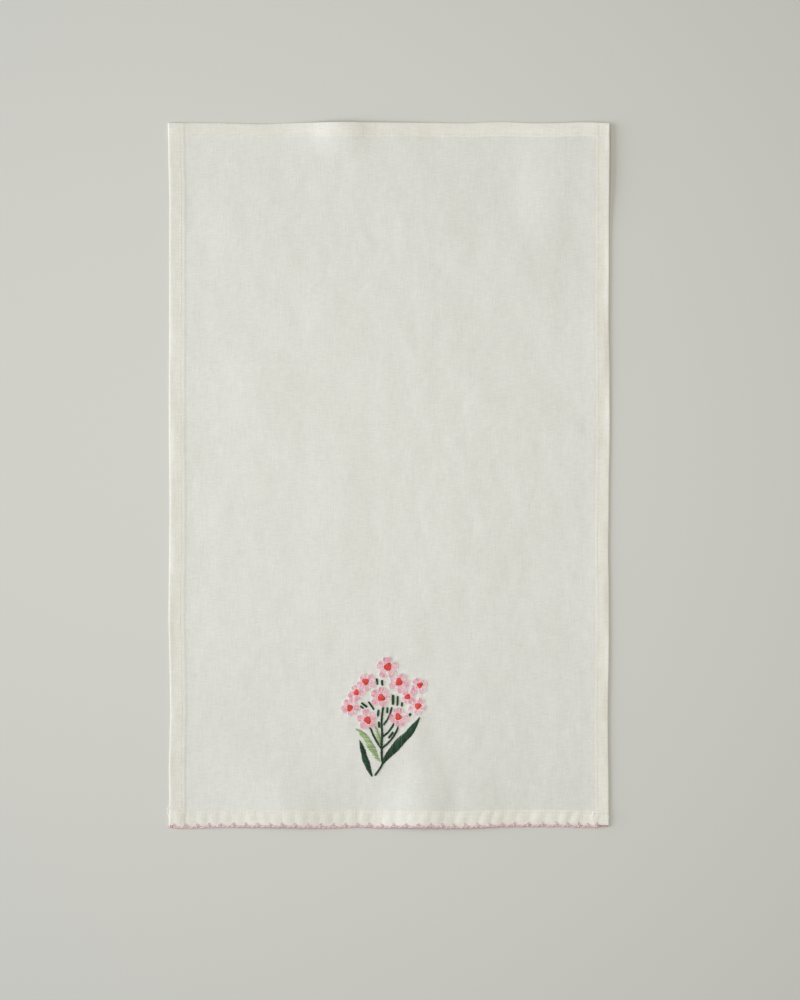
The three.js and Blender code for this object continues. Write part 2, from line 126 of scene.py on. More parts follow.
# Soft ridges: x, y, direction of the crest in degrees, half length, half width, height.
RIDGES = [
    (30, -350, 90, 64, 40, 3.0),
    (60, -352, 90, 62, 100, 1.6),
    (-105, -350, 92, 80, 65, 2.0),
    (-3, -342, 90, 36, 10, 0.4),
    (159, 285, 90, 80, 34, 0.9),
    (190, 276, 90, 74, 60, 0.4),
    (-49, 352, -70, 42, 34, 2.6),
    (-15, 352, 90, 32, 70, 0.9),
    (-136, 100, 90, 215, 52, 0.8),
    (-54, -25, 90, 200, 40, 0.35),
    (206, 150, 90, 170, 34, 0.6),
    (190, 35, -35, 40, 20, 0.5),
]
# Swells that lift the whole cloth and that only the visible cloth has, in the same columns.
SWELLS = [
    (34, -312, 90, 48, 38, 1.4),
    (82, -350, 90, 66, 44, 1.1),
    (-98, -350, 90, 70, 50, 0.8),
    (-60, 352, -75, 42, 42, 0.8),
    (-22, 352, 90, 34, 95, 2.1),
    (232, 318, 90, 80, 110, 2.3),
]
# Creases and dents in its face, in the same columns.
CREASES = [
    (205.6, -345.2, 67, 6, 2, 0.45),
    (196, 38, -38, 24, 5, 0.3),
    (203, 27, -38, 18, 4, 0.25),
    (186, 50, -40, 20, 5, 0.2),
    (-198, -12, 80, 16, 6, -0.25),
    (-24, 236.7, -64, 22, 8, 0.45),
    (17, 135.5, -62, 50, 7, 0.22),
    (-38.6, 145.6, -60, 30, 6, 0.18),
    (-3, 105, -58, 36, 5, 0.15),
    (30, -268, 88, 46, 16, 0.5),
    (228, 60, 90, 260, 22, -0.4),
]

# The sprig, measured from the foot of its stem.
SPRIG_FOOT = np.array([-15.0, -306.0])
# Flower heads: x, y, radius, petals, turn of the petals, turn of the heart.
FLOWERS = [
    (13, 110, 11.2, 5, 20, 60),
    (-8, 95.5, 9.6, 5, 50, 150),
    (25, 94.5, 10.6, 5, -8, 95),
    (45, 92, 8.4, 4, 30, 30),
    (-18.5, 84, 8.2, 4, 12, 80),
    (6, 80, 10.4, 5, 5, 340),
    (34.5, 81, 8.2, 4, 40, 200),
    (-24.5, 70.5, 9.2, 5, 62, 250),
    (43, 71, 9.2, 5, -15, 20),
    (-7.5, 58, 10.4, 5, 25, 300),
    (24.5, 59.5, 9.8, 4, 0, 110),
]
PETAL_WAIST = 0.7
PETAL_HALVES = {4: 0.53, 5: 0.44}  # half width by the number of petals, as a share of the radius
PETAL_ENDS = (0.72, 1.04)  # width at the root and at the outer end, as a share of that
SQUARENESS = 2.6  # of a petal: 2 is an oval and 4 nearly a rectangle
HEART_SHARE = 0.37
HEART_SHIFT = 1.1
HEART_WAVE = 0.14
HEART_STRETCH = 0.1
# Strips: from x, from y, to x, to y, bend, wave, width.
STEMS = [
    (0, 1, 9, 15, 0.8, 0, 2.0),
    (8, 13, 8, 44, -0.8, 0, 2.6),
    (8, 27, -4.5, 50, -1.0, 0, 2.0),
    (8, 29, 25, 53, 2.5, 0, 2.1),
    (8, 40, 20, 54, 1.2, 0, 2.0),
    (8, 42, 9, 71, -1.2, 0, 2.4),
    (9, 52, 17.5, 70, 1.5, 0, 2.0),
]
DASHES = [
    (18.6, 72, 18.8, 83.5, 0.3, 0, 2.6),
    (23, 71, 23.4, 82, 0.8, 0, 1.9),
    (-13.5, 75, -7, 70, 0.4, 0, 2.3),
    (-6.5, 76.5, 0, 67, -0.4, 0, 1.8),
    (2.8, 92.5, 2.3, 99.5, 0.3, 0, 2.2),
    (8, 91.5, 7.6, 98, 0.3, 0, 2.2),
    (34.5, 61, 37, 64, 0.3, 0, 2.2),
    (13.8, 38.4, 19.3, 45.5, 0.3, 0, 2.3),
    (4.6, 49, 4.4, 56, 0.2, 0, 2.2),
    (3.4, 60.5, 4.2, 68.2, 0.3, 0, 2.0),
    (12.8, 63.5, 13.2, 70.5, -0.2, 0, 1.9),
    (27.4, 70.5, 28.2, 75.5, 0.2, 0, 1.9),
    (-14.6, 71.6, -10.6, 68.7, 0.2, 0, 1.8),
]
LARGE_LEAF = (7, 12, 46, 60, 0.6, 1.4, 9.4)
DARK_LEAF = (-2.5, 0, -15, 37, -0.6, 0.5, 6.6)
LIGHT_LEAVES = [(5, 15, -19, 49, 2.4, 1.0, 7.6), (5.6, 30, 0.6, 52, 0.8, 0, 3.4)]
LEAF_TIP = 0.12  # width of a leaf's tip as a share of its middle's
# The cloth round each flower ripples, and it lies lower under the flower.
RIPPLES = 9
RIPPLE_HEIGHT = 0.16
SPRIG_DENT = 0.12
# Radii of the embroidery's threads, and how far their middles stand above the cloth.
PETAL_RADIUS, PETAL_RISE = 0.29, 0.32
PETAL_RIM_RADIUS, PETAL_RIM_RISE = 0.32, 0.42
RING_RISE = 0.45  # of the pale ring round a heart
HEART_RADIUS, HEART_RISE = 0.29, 0.55
STEM_RADIUS, STEM_RISE = 0.42, 0.4
DASH_RADIUS, DASH_RISE = 0.38, 0.45
LEAF_RADIUS, LEAF_RISE = 0.27, 0.42
PETAL_STITCHES = 19
PETAL_RIM_STITCHES = 12
RING_STITCHES = 12
HEART_PITCH = 0.36
STEM_PITCH = 1.5
LEAF_PITCH = 0.4
DARK_LEAF_SLANT, DARK_LEAF_RAGGED = 1.0, 0.3
LIGHT_LEAF_SLANT, LIGHT_LEAF_RAGGED = 0.8, 0.55


def ramp(t):
    t = np.clip(t, 0.0, 1.0)
    return t * t * (3 - 2 * t)


def hump(t):
    return np.where(np.abs(t) < 1, (1 - t * t) ** 2, 0.0)


def lerp(a, b, t):
    return a + (b - a) * t


def drift_at(table, at):
    places, outwards = np.array(table, float).T
    k = np.clip(np.searchsorted(places, at, side="right") - 1, 0, len(places) - 2)
    share = (at - places[k]) / (places[k + 1] - places[k])
    return lerp(outwards[k], outwards[k + 1], ramp(share))


def ridge_height(table, x, y):
    height = np.zeros_like(x)
    for ridge_x, ridge_y, turn, reach, half, high in table:
        c, s = math.cos(math.radians(turn)), math.sin(math.radians(turn))
        dx, dy = x - ridge_x, y - ridge_y
        height += high * hump((dx * c + dy * s) / reach) * hump((dy * c - dx * s) / half)
    return height


def stitch_places():
    places = [FIRST_STITCH]
    for gaps, pitch in STITCH_GAPS:
        for _ in range(gaps):
            places.append(places[-1] + pitch)
    return np.array(places)


STITCHES = stitch_places()
LOBE_HEIGHTS = chance.uniform(0.55, 1.35, len(STITCHES))


def lobe_number(x):
    return np.clip(np.searchsorted(STITCHES, x, side="right"), 1, len(STITCHES) - 1)


def lobe_at(x):
    """0 at a stitch and 1 in the middle of the lobe between two stitches."""
    k = lobe_number(x)
    share = (x - STITCHES[k - 1]) / (STITCHES[k] - STITCHES[k - 1])
    return np.where((share > 0) & (share < 1), np.sin(np.pi * np.clip(share, 0, 1)) ** 0.75, 0.0)


def placed(plan_x, plan_y):
    """Where each point of the straight-edged cut lies."""
    def pull(gap):
        return hump(np.minimum(1, gap / DRIFT_REACH))

    lobe = LOBE_DEPTH * lobe_at(plan_x) * hump((HALF_LENGTH + plan_y) / LOBE_REACH)
    to_left = pull(HALF_WIDTH + plan_x) * drift_at(LEFT_DRIFT, plan_y)
    to_right = pull(HALF_WIDTH - plan_x) * drift_at(RIGHT_DRIFT, plan_y)
    upward = pull(HALF_LENGTH - plan_y) * drift_at(TOP_DRIFT, plan_x)
    downward = pull(HALF_LENGTH + plan_y) * drift_at(BOTTOM_DRIFT, plan_x) + lobe
    return plan_x - to_left + to_right, plan_y + upward - downward


def hem_gaps(plan_x, plan_y):
    return HALF_WIDTH - np.abs(plan_x), HALF_LENGTH - np.abs(plan_y)


def hem_share(gap, crisp):
    """1 on a hem and 0 on the field: a short step at the hem's inner edge, then a long slope."""
    step = 1 - ramp((gap - HEM_WIDTH - STEP_START) / STEP_WIDTH)
    slope = 1 - ramp((gap - HEM_WIDTH) / SLOPE_WIDTH)
    return lerp(slope, step, crisp)


def thickness(plan_x, plan_y):
    side_gap, end_gap = hem_gaps(plan_x, plan_y)
    side = hem_share(side_gap, np.where(plan_x < 0, LEFT_CRISP, RIGHT_CRISP))
    end = hem_share(end_gap, END_CRISP)
    hem = (HEM_THICK - FIELD_THICK) * np.maximum(side, end)
    return FIELD_THICK + hem + (CORNER_THICK - HEM_THICK) * side * end


def lobe_puff(plan_x, plan_y):
    """The bottom hem swells between the stitches, in folds that lean more to the right."""
    up = HALF_LENGTH + plan_y
    lean = lerp(*LOBE_LEANS, ramp((plan_x + HALF_WIDTH) / (2 * HALF_WIDTH)))
    across = plan_x - lean * up
    share = np.clip(up / (HEM_WIDTH + 1.5), 0, 1)
    height = LOBE_PUFF * LOBE_HEIGHTS[lobe_number(across)]
    return height * lobe_at(across) * np.sin(np.pi * share**0.7)


def random_waves(count, shortest, longest, slope):
    """Shallow waves in random directions, whose slopes add up to about this slope."""
    length = np.exp(chance.uniform(math.log(shortest), math.log(longest), count))
    turn = chance.uniform(0, 2 * np.pi, count)
    phase = chance.uniform(0, 2 * np.pi, count)
    height = slope * length / (2 * np.pi) / math.sqrt(count / 2)
    return list(zip(2 * np.pi / length, turn, phase, height))


WAVES = random_waves(36, 28, 150, 0.017) + random_waves(36, 12, 26, 0.013)


def unevenness(x, y):
    height = np.zeros_like(x)
    for rate, turn, phase, high in WAVES:
        height += high * np.sin(rate * (x * math.cos(turn) + y * math.sin(turn)) + phase)
    return height


def puckers(x, y):
    """Small ripples where the embroidery draws the cloth in."""
    height = np.zeros_like(x)
    for k, (flower_x, flower_y, radius, *_) in enumerate(FLOWERS):
        dx, dy = x - SPRIG_FOOT[0] - flower_x, y - SPRIG_FOOT[1] - flower_y
        away = np.hypot(dx, dy) - radius
        ripple = np.cos(RIPPLES * np.arctan2(dy, dx) + 2.3 * k)
        height += RIPPLE_HEIGHT * ripple * np.exp(-((away - 1.5) / 5) ** 2)
        height -= SPRIG_DENT * np.exp(-((away + 2) / 4) ** 2)
    return height


def seam_groove(plan_x, plan_y):
    depth = np.zeros_like(plan_x)
    for gap, along in zip(hem_gaps(plan_x, plan_y), (plan_y, plan_x)):
        sway = np.sin(along / 2.9) + np.sin(along / 1.7 + 1)
        pull = GROOVE_DEPTH + GROOVE_SWAY * sway
        depth = np.maximum(depth, pull * hump((gap - SEAM_GAP) / GROOVE_HALF))
    return depth


def rest_height(side_gap, end_gap):
    return REST_LIFT * np.minimum(1, np.hypot(side_gap, end_gap) / REST_REACH)


def cloth_heights(plan_x, plan_y):
    """The places of the points and the heights of the cloth's face and back above the floor."""
    x, y = placed(plan_x, plan_y)
    side_gap, end_gap = hem_gaps(plan_x, plan_y)
    gap = np.minimum(side_gap, end_gap)
    thick = thickness(plan_x, plan_y)
    left_gap = HALF_WIDTH + plan_x
    rim = np.where(left_gap < end_gap, LEFT_RIM, RIM)
    rounding = np.sqrt(1 - (1 - np.clip(gap / rim, 0, 1)) ** 2)
    round_share = rounding * (1 - RIM_SHARE) + RIM_SHARE
    lift = ridge_height(RIDGES + SWELLS, x, y) + rest_height(side_gap, end_gap)
    lift += LEFT_CURL * (1 - ramp(left_gap / HEM_WIDTH))
    middle = lift + thick / 2
    inside = ramp(gap / FLAT_RIM)
    relief = inside * (unevenness(x, y) + puckers(x, y)) + ridge_height(CREASES, x, y)
    relief += lobe_puff(plan_x, plan_y) - seam_groove(plan_x, plan_y)
    past_hem = gap - HEM_WIDTH
    turned_edge = TURNED_EDGE * ramp((past_hem + 0.4) / 0.5) * (1 - ramp(past_hem / TURNED_REACH))
    face = middle + thick / 2 * round_share + relief
    back = middle - thick / 2 * round_share + turned_edge
    return x, y, face, back


def face_height(x, y):
    """Height of the cloth's face at a place away from the edges."""
    return cloth_heights(np.asarray(x, float), np.asarray(y, float))[2]


def new_object(name, points, faces, material):
    mesh = bpy.data.meshes.new(name)
    mesh.from_pydata((points + SHIFT) * MM, [], faces)
    mesh.polygons.foreach_set("use_smooth", [True] * len(mesh.polygons))
    mesh.materials.append(material)
    thing = bpy.data.objects.new(name, mesh)
    bpy.context.scene.collection.objects.link(thing)
    return thing


def add_marks(mesh, name, domain, marks):
    layer = mesh.attributes.new(name, "FLOAT_VECTOR", domain)
    layer.data.foreach_set("vector", np.asarray(marks, np.float32).ravel())


def grid_lines(low_gaps, spans, high_gaps, half):
    """Places of the grid's lines: given gaps at both edges, and even spans of (start, end, pitch)."""
    lines = [-half + gap for gap in low_gaps]
    for start, end, pitch in spans:
        lines.extend(np.linspace(start, end, round((end - start) / pitch), endpoint=False))
    return np.array(lines + [half - gap for gap in reversed(high_gaps)])


def towel_cloth(material):
    rim = [0, 0.12, 0.35, 0.7, 1.1, 1.9]
    hem = [*rim, 3.2, 5, 7, 9, 10.2, 11, 11.7, 12.4, 13.2, 13.9, 14.5, 15.1, 15.8, 16.5, 17.2, 18.6]
    lobes = [*rim, 2.8, 3.8, 5, 6.2, 7.4, 8.6, 9.6, *hem[10:], 20.5, 23, 26, 30]
    columns = grid_lines(hem, [(-202, 202.1, 2.12)], hem, HALF_WIDTH)
    rows = grid_lines(
        lobes,
        [(-320, -308, 3.4), (-308, -176, 2.3), (-176, 334, 6.1)],
        hem,
        HALF_LENGTH,
    )
    plan_x, plan_y = (axis.ravel() for axis in np.meshgrid(columns, rows))
    x, y, face, back = cloth_heights(plan_x, plan_y)
    points = np.concatenate([np.column_stack([x, y, face]), np.column_stack([x, y, back])])
    wide, count = len(columns), len(x)
    ids = np.arange(count).reshape(len(rows), wide)
    a, b, c, d = (part.ravel() for part in (ids[:-1, :-1], ids[:-1, 1:], ids[1:, 1:], ids[1:, :-1]))
    face_quads = np.column_stack([a, b, c, d])
    back_quads = np.column_stack([d, c, b, a]) + count
    rim_ids = np.concatenate([ids[0, :-1], ids[:-1, -1], ids[-1, :0:-1], ids[:0:-1, 0]])
    next_ids = np.roll(rim_ids, -1)
    rim_quads = np.column_stack([rim_ids, rim_ids + count, next_ids + count, next_ids])
    quads = np.concatenate([face_quads, back_quads, rim_quads])
    cloth = new_object("towel_cloth_fabric", points, quads, material)
    sides = np.repeat([1.0, -1.0], count)
    plan = np.column_stack([np.tile(plan_x, 2), np.tile(plan_y, 2), sides])
    add_marks(cloth.data, "plan", "POINT", plan)
    return cloth


class Strands:
    """Many round strands gathered into one mesh. Each corner is marked with its place along and
    around its strand, and with the strand's own tint."""

    def __init__(self):
        self.points, self.quads, self.caps = [], [], []
        self.quad_marks, self.cap_marks = [], []
        self.count = 0

    def add(self, path, radius, tint, sides=6, reference=(0.0, 0.0, 1.0)):
        path = np.asarray(path, float)
        steps = len(path)
        radius = np.broadcast_to(np.asarray(radius, float), steps)
        tangent = np.gradient(path, axis=0)
        tangent /= np.linalg.norm(tangent, axis=1, keepdims=True)
        side = np.cross(tangent, reference)
        side /= np.linalg.norm(side, axis=1, keepdims=True)
        up = np.cross(side, tangent)
        angle = 2 * np.pi * np.arange(sides) / sides
        ring = np.cos(angle)[None, :, None] * side[:, None, :]
        ring = ring + np.sin(angle)[None, :, None] * up[:, None, :]
        points = path[:, None, :] + radius[:, None, None] * ring
        ids = self.count + np.arange(steps * sides).reshape(steps, sides)
        turned = np.roll(ids, -1, axis=1)
        quads = np.stack([ids[:-1], ids[1:], turned[1:], turned[:-1]], axis=-1)
        along = np.concatenate([[0], np.cumsum(np.linalg.norm(np.diff(path, axis=0), axis=1))])
        marks = np.empty((steps - 1, sides, 4, 3))
        for corner, (late, on) in enumerate([(0, 0), (1, 0), (1, 1), (0, 1)]):
            marks[:, :, corner, 0] = along[late : steps - 1 + late, None]
            marks[:, :, corner, 1] = (np.arange(sides) + on)[None, :] / sides
        marks[..., 2] = tint
        self.points.append(points.reshape(-1, 3))
        self.quads.append(quads.reshape(-1, 4))
        self.quad_marks.append(marks.reshape(-1, 3))
        self.caps.append(np.array([ids[0], ids[-1, ::-1]]))
        self.cap_marks.append(np.tile([0.0, 0.0, tint], (2 * sides, 1)))
        self.count += steps * sides

    def made(self, name, material):
        faces = [list(quad) for quad in np.concatenate(self.quads)]
        faces += [list(cap) for pair in self.caps for cap in pair]
        thing = new_object(name, np.concatenate(self.points), faces, material)
        marks = np.concatenate(self.quad_marks + self.cap_marks)
        add_marks(thing.data, "strand", "CORNER", marks)
        return thing


def smooth_path(knots, steps):
    """A Catmull-Rom curve through these points."""
    knots = np.asarray(knots, float)
    before, after = 2 * knots[0] - knots[1], 2 * knots[-1] - knots[-2]
    padded = np.vstack([before, knots, after])
    at = np.linspace(0, len(knots) - 1, steps)
    k = np.minimum(at.astype(int), len(knots) - 2)
    t = (at - k)[:, None]
    p, q, r, s = (padded[k + n] for n in range(4))
    squared = 2 * p - 5 * q + 4 * r - s
    cubed = 3 * q - p - 3 * r + s
    return 0.5 * (2 * q + (r - p) * t + squared * t**2 + cubed * t**3)


def twisted(strands, path, ply_radius, twist, tints, sides=6, fade=1.0):
    """Plies laid round each other along a path, one for each tint."""
    path = np.asarray(path, float)
    tangent = np.gradient(path, axis=0)
    tangent /= np.linalg.norm(tangent, axis=1, keepdims=True)
    side = np.cross(tangent, (0.0, 0.0, 1.0))
    side /= np.linalg.norm(side, axis=1, keepdims=True)
    up = np.cross(side, tangent)
    along = np.concatenate([[0], np.cumsum(np.linalg.norm(np.diff(path, axis=0), axis=1))])
    radius = ply_radius * fade * np.ones(len(path))
    for k, tint in enumerate(tints):
        angle = 2 * np.pi * (along / twist + k / len(tints))
        ply = path + radius[:, None] * (np.cos(angle)[:, None] * side + np.sin(angle)[:, None] * up)
        strands.add(ply, radius, tint, sides)


def edge_point(plan_x):
    x, y = placed(np.array([plan_x]), np.array([-HALF_LENGTH]))
    return float(x[0]), float(y[0])


def yarn_middle(plan_x):
    x, y = edge_point(plan_x)
    indent = LOBE_DEPTH * (1 - float(lobe_at(np.array([plan_x]))[0]))
    lift = float(ridge_height(RIDGES + SWELLS, np.array([x]), np.array([y]))[0])
    return np.array([x, y - YARN_RADIUS * 0.6 - YARN_DRAW * indent, lift + YARN_RADIUS + 0.3])


def hem_top(x, y):
    """Height of the bottom hem's face at a placed point."""
    _, edge_y = edge_point(x)
    plan_y = -HALF_LENGTH + max(0.0, y - edge_y)
    return float(cloth_heights(np.array([float(x)]), np.array([plan_y]))[2][0])


def edge_yarn(material):
    strands = Strands()
    corner_x, corner_y = edge_point(-HALF_WIDTH)
    start = yarn_middle(-HALF_WIDTH)
    knots = [np.array([corner_x - 0.7, corner_y - 0.6, start[2]])]
    for k, x in enumerate(STITCHES):
        if k > 0:
            knots.append(yarn_middle((STITCHES[k - 1] + x) / 2))
        knots.append(yarn_middle(x))
    knots.append(yarn_middle(STITCHES[-1] + 3))
    knots.append(yarn_middle(STITCHES[-1] + 6) + np.array([0, 0.7, -0.3]))
    path = smooth_path(knots, 960)
    path[:, 2] += 0.06 * np.sin(path[:, 0] * 0.9)
    fade = np.clip((path[-1, 0] - path[:, 0]) / 5, 0.25, 1)
    fade *= 1 + 0.07 * np.sin(path[:, 0] * 0.43) + 0.04 * np.sin(path[:, 0] * 1.31)
    twisted(strands, path, YARN_RADIUS * PLY_SHARE, YARN_TWIST, YARN_TINTS, 8, fade)
    for k, x in enumerate(STITCHES):
        yarn_stitch(strands, x, k)
    yarn_ends(strands)
    return strands.made("edge_yarn_plies", material)


def yarn_stitch(strands, plan_x, k):
    """One blanket stitch: a loop round the run, and two strands up to the hole in the hem."""
    foot = yarn_middle(plan_x)
    edge_x, edge_y = edge_point(plan_x)
    lean = LEG_LEAN * math.sin(0.8 * k + 4)
    tip_x, tip_y = edge_x + lean, edge_y + LEG_REACH + chance.uniform(-0.4, 0.5)
    tip_z = hem_top(tip_x, tip_y)
    mid_y = edge_y + 1.0
    for way, spread in ((-1, chance.uniform(1.3, 1.9)), (1, chance.uniform(0.8, 1.4))):
        mid_x = lerp(edge_x, tip_x, 0.3) + way * spread * 0.45
        knots = [
            (foot[0] + way * spread, foot[1] + 0.1, foot[2] + 0.45),
            (foot[0] + way * spread * 0.8, foot[1] + 0.8, foot[2] + 0.95),
            (mid_x, mid_y, hem_top(mid_x, mid_y) + 0.45),
            (tip_x + way * 0.12, tip_y - 0.5, tip_z + 0.3),
            (tip_x, tip_y + 0.35, tip_z - 0.45),
        ]
        path = smooth_path(knots, 15)
        taper = np.linspace(1.0, 0.62, len(path))
        tints = [0.75 if way > 0 else 0.55, 1.0]
        twisted(strands, path, LEG_RADIUS, LEG_TWIST, tints, fade=taper)
    angle = np.linspace(-0.75 * np.pi, 0.95 * np.pi, 18)
    loop = np.column_stack([
        foot[0] + 0.5 * np.sin(angle / 2) + 0.25 * lean,
        foot[1] + (YARN_RADIUS + 0.12) * np.sin(angle),
        np.maximum(foot[2] + (YARN_RADIUS + 0.12) * np.cos(angle), LOOP_RADIUS),
    ])
    strands.add(loop, LOOP_RADIUS, chance.uniform(0.75, 1.0), 7, (1.0, 0.0, 0.0))
    under = [
        (foot[0], foot[1] + 0.4, 0.4),
        (edge_x + 0.2 * lean, edge_y + 0.8, 0.32),
        (tip_x, tip_y - 0.4, 0.32),
        (tip_x, tip_y + 0.3, 0.75),
    ]
    strands.add(smooth_path(under, 9), UNDER_RADIUS, 0.5)


def yarn_ends(strands):
    """The wraps at the left corner and the thin tail that runs on to the right corner."""
    for x, tint in ((-221.4, 0.95), (-219.2, 0.25)):
        foot = yarn_middle(x)
        angle = np.linspace(-0.6 * np.pi, 0.9 * np.pi, 14)
        loop = np.column_stack([
            foot[0] + 0.9 * angle / np.pi,
            foot[1] + 0.2 + (YARN_RADIUS + 0.2) * np.sin(angle),
            np.maximum(foot[2] + (YARN_RADIUS + 0.15) * np.cos(angle), 0.45),
        ])
        strands.add(loop, WRAP_RADIUS, tint, 7, (1.0, 0.0, 0.0))
    tail = [yarn_middle(x) + np.array([0, 0.55, -0.35]) for x in np.linspace(213, 221, 7)]
    twisted(strands, smooth_path(tail, 26), TAIL_RADIUS, 3.0, [0.1, 0.3])


def hem_stitching(material):
    """The line of machine stitches round the hems, with the loose ends at two corners."""
    strands = Strands()
    for half, seam, upright in (HALF_LENGTH, HALF_WIDTH, True), (HALF_WIDTH, HALF_LENGTH, False):
        places = np.arange(-half + SEAM_START, half - SEAM_START, SEAM_PITCH)
        for way in (-1, 1):
            fixed = way * (seam - SEAM_GAP)
            for start in places:
                t = np.linspace(0, 1, 6)
                run = start + SEAM_LENGTH * t
                wander = fixed + 0.1 * np.sin(run * 0.05 + way) + SEAM_SLANT * (t - 0.5)
                plan = (wander, run) if upright else (run, wander)
                x, y, face, _ = cloth_heights(*plan)
                z = face + SEAM_RISE * np.sin(np.pi * t) ** 0.6 - SEAM_SINK
                strands.add(np.column_stack([x, y, z]), SEAM_RADIUS, chance.uniform(0.3, 1), 5)
    for knots in (
        [(-221.2, -335, 1.5), (-223.2, -338.5, 1.9), (-224.2, -343, 0.6), (-222.6, -347, 0.5)],
        [(-221.5, -336, 1.7), (-223.6, -337, 1.6), (-224.9, -340, 0.6)],
        [(218.2, -342.6, 2.2), (220.5, -344.2, 2.8), (222.6, -346.8, 1.9), (223.2, -348, 0.8)],
    ):
        strands.add(smooth_path(knots, 20), LOOSE_END_RADIUS, 1.0, 5)
    return strands.made("hem_stitching", material)


def lay_thread(strands, start, end, radius, tint, rise, bow=0.0, level=0.0):
    """A straight stitch lying on the cloth from one point to another, in at both ends."""
    start, end = np.asarray(start, float), np.asarray(end, float)
    way = end - start
    if np.hypot(*way) < 0.5:
        return
    t = np.array([0.0, 0.06, 0.2, 0.4, 0.6, 0.8, 0.94, 1.0])
    flat = start + t[:, None] * way
    flat += bow * np.sin(np.pi * t)[:, None] * np.array([-way[1], way[0]]) / np.hypot(*way)
    x, y = flat[:, 0] + SPRIG_FOOT[0], flat[:, 1] + SPRIG_FOOT[1]
    arch = np.sin(np.pi * t) ** 0.5
    z = face_height(x, y) + (rise + level) * arch - 0.2 * (1 - arch)
    thick = radius * (0.55 + 0.45 * arch)
    strands.add(np.column_stack([x, y, z]), thick, tint)


def in_flower(flower, point, grow=0.0):
    flower_x, flower_y, radius, petals, turn, _ = flower
    dx, dy = point[0] - flower_x, point[1] - flower_y
    angle = math.atan2(dy, dx) - math.radians(turn)
    petal = abs(math.cos(petals * angle / 2)) ** 0.8
    return math.hypot(dx, dy) < radius * lerp(PETAL_WAIST, 1, petal) + grow


def in_any_flower(point, grow=0.0, flowers=FLOWERS):
    return any(in_flower(flower, point, grow) for flower in flowers)


def heart_reach(radius, angle):
    wave = 1 + HEART_WAVE * np.cos(3 * angle)
    return radius * HEART_SHARE * wave * (1 + HEART_STRETCH * np.cos(2 * angle))


def heart_outline(flower, count=48, grow=0.0):
    flower_x, flower_y, radius, _, _, heart = flower
    turn = math.radians(heart)
    angle = 2 * np.pi * np.arange(count) / count
    reach = heart_reach(radius, angle - turn) + grow
    middle = np.array([flower_x, flower_y]) + HEART_SHIFT * np.array([math.cos(turn), math.sin(turn)])
    return middle + reach[:, None] * np.column_stack([np.cos(angle), np.sin(angle)])


def in_heart(flower, point, grow=0.0):
    flower_x, flower_y, radius, _, _, heart = flower
    turn = math.radians(heart)
    dx = point[0] - flower_x - HEART_SHIFT * math.cos(turn)
    dy = point[1] - flower_y - HEART_SHIFT * math.sin(turn)
    return math.hypot(dx, dy) < heart_reach(radius, math.atan2(dy, dx) - turn) + grow


PETAL_CHANGES = chance.uniform(-1, 1, (len(FLOWERS), 5, 3))  # of length, width and direction


def rounded(angle):
    """A point in this direction on the outline of a square with well rounded corners."""
    along, across = math.cos(angle), math.sin(angle)
    size = (abs(along) ** SQUARENESS + abs(across) ** SQUARENESS) ** (1 / SQUARENESS)
    return along / size, across / size


def petal_point(number, petal, along, across):
    """A point of a petal: along from -1 at its root to 1 at its end, across from -1 to 1."""
    flower_x, flower_y, radius, petals, turn, _ = FLOWERS[number]
    longer, wider, turned = PETAL_CHANGES[number, petal]
    angle = math.radians(turn + 5 * turned) + 2 * math.pi * petal / petals
    outward = np.array([math.cos(angle), math.sin(angle)])
    sideways = np.array([-outward[1], outward[0]])
    reach = radius * (0.54 + (0.46 + 0.05 * longer) * along)
    half = radius * PETAL_HALVES[petals] * (1 + 0.12 * wider)
    half *= lerp(*PETAL_ENDS, (along + 1) / 2)
    return np.array([flower_x, flower_y]) + outward * reach + sideways * half * across


def free_part(ends, free):
    """The ends of the longest part of a stitch that lies on free ground, or None."""
    points = [lerp(*ends, t) for t in np.linspace(0, 1, 13)]
    runs, run = [], []
    for point in points:
        if free(point):
            run.append(point)
        else:
            runs.append(run)
            run = []
    longest = max([*runs, run], key=len)
    return (longest[0], longest[-1]) if len(longest) > 2 else None


def petal_fill(strands, number, petal, free):
    """Two rows of stitches, one behind the other, from a petal's root to its end."""
    tone = chance.uniform(0.35, 0.6)
    for k in range(PETAL_STITCHES):
        across = lerp(-0.95, 0.95, k / (PETAL_STITCHES - 1)) + chance.uniform(-0.04, 0.04)
        chord = max(0.0, 1 - abs(across) ** SQUARENESS) ** (1 / SQUARENESS)
        split = chance.uniform(-0.4, 0.4)
        for low, high, level in ((-1.0, split + 0.2, 0.0), (split, 1.0, 0.08)):
            ends = [petal_point(number, petal, chord * share, across) for share in (low, high)]
            ends = free_part(ends, free)
            tint = np.clip(tone + chance.uniform(-0.3, 0.4), 0, 1)
            bow = chance.uniform(-0.1, 0.1)
            if ends:
                lay_thread(strands, *ends, PETAL_RADIUS, tint, PETAL_RISE, bow, level)


def petal_rim(strands, number, petal, free):
    """Pale stitches round the outer part of a petal."""
    for k in range(PETAL_RIM_STITCHES):
        angles = [lerp(-2.2, 2.2, (k + late) / PETAL_RIM_STITCHES) for late in (-0.15, 1.25)]
        out = chance.uniform(0.93, 1.05)
        ends = [petal_point(number, petal, *(out * part for part in rounded(a))) for a in angles]
        if free(lerp(ends[0], ends[1], 0.5)):
            lay_thread(strands, *ends, PETAL_RIM_RADIUS, chance.uniform(0.75, 1.0), PETAL_RIM_RISE, -0.12)


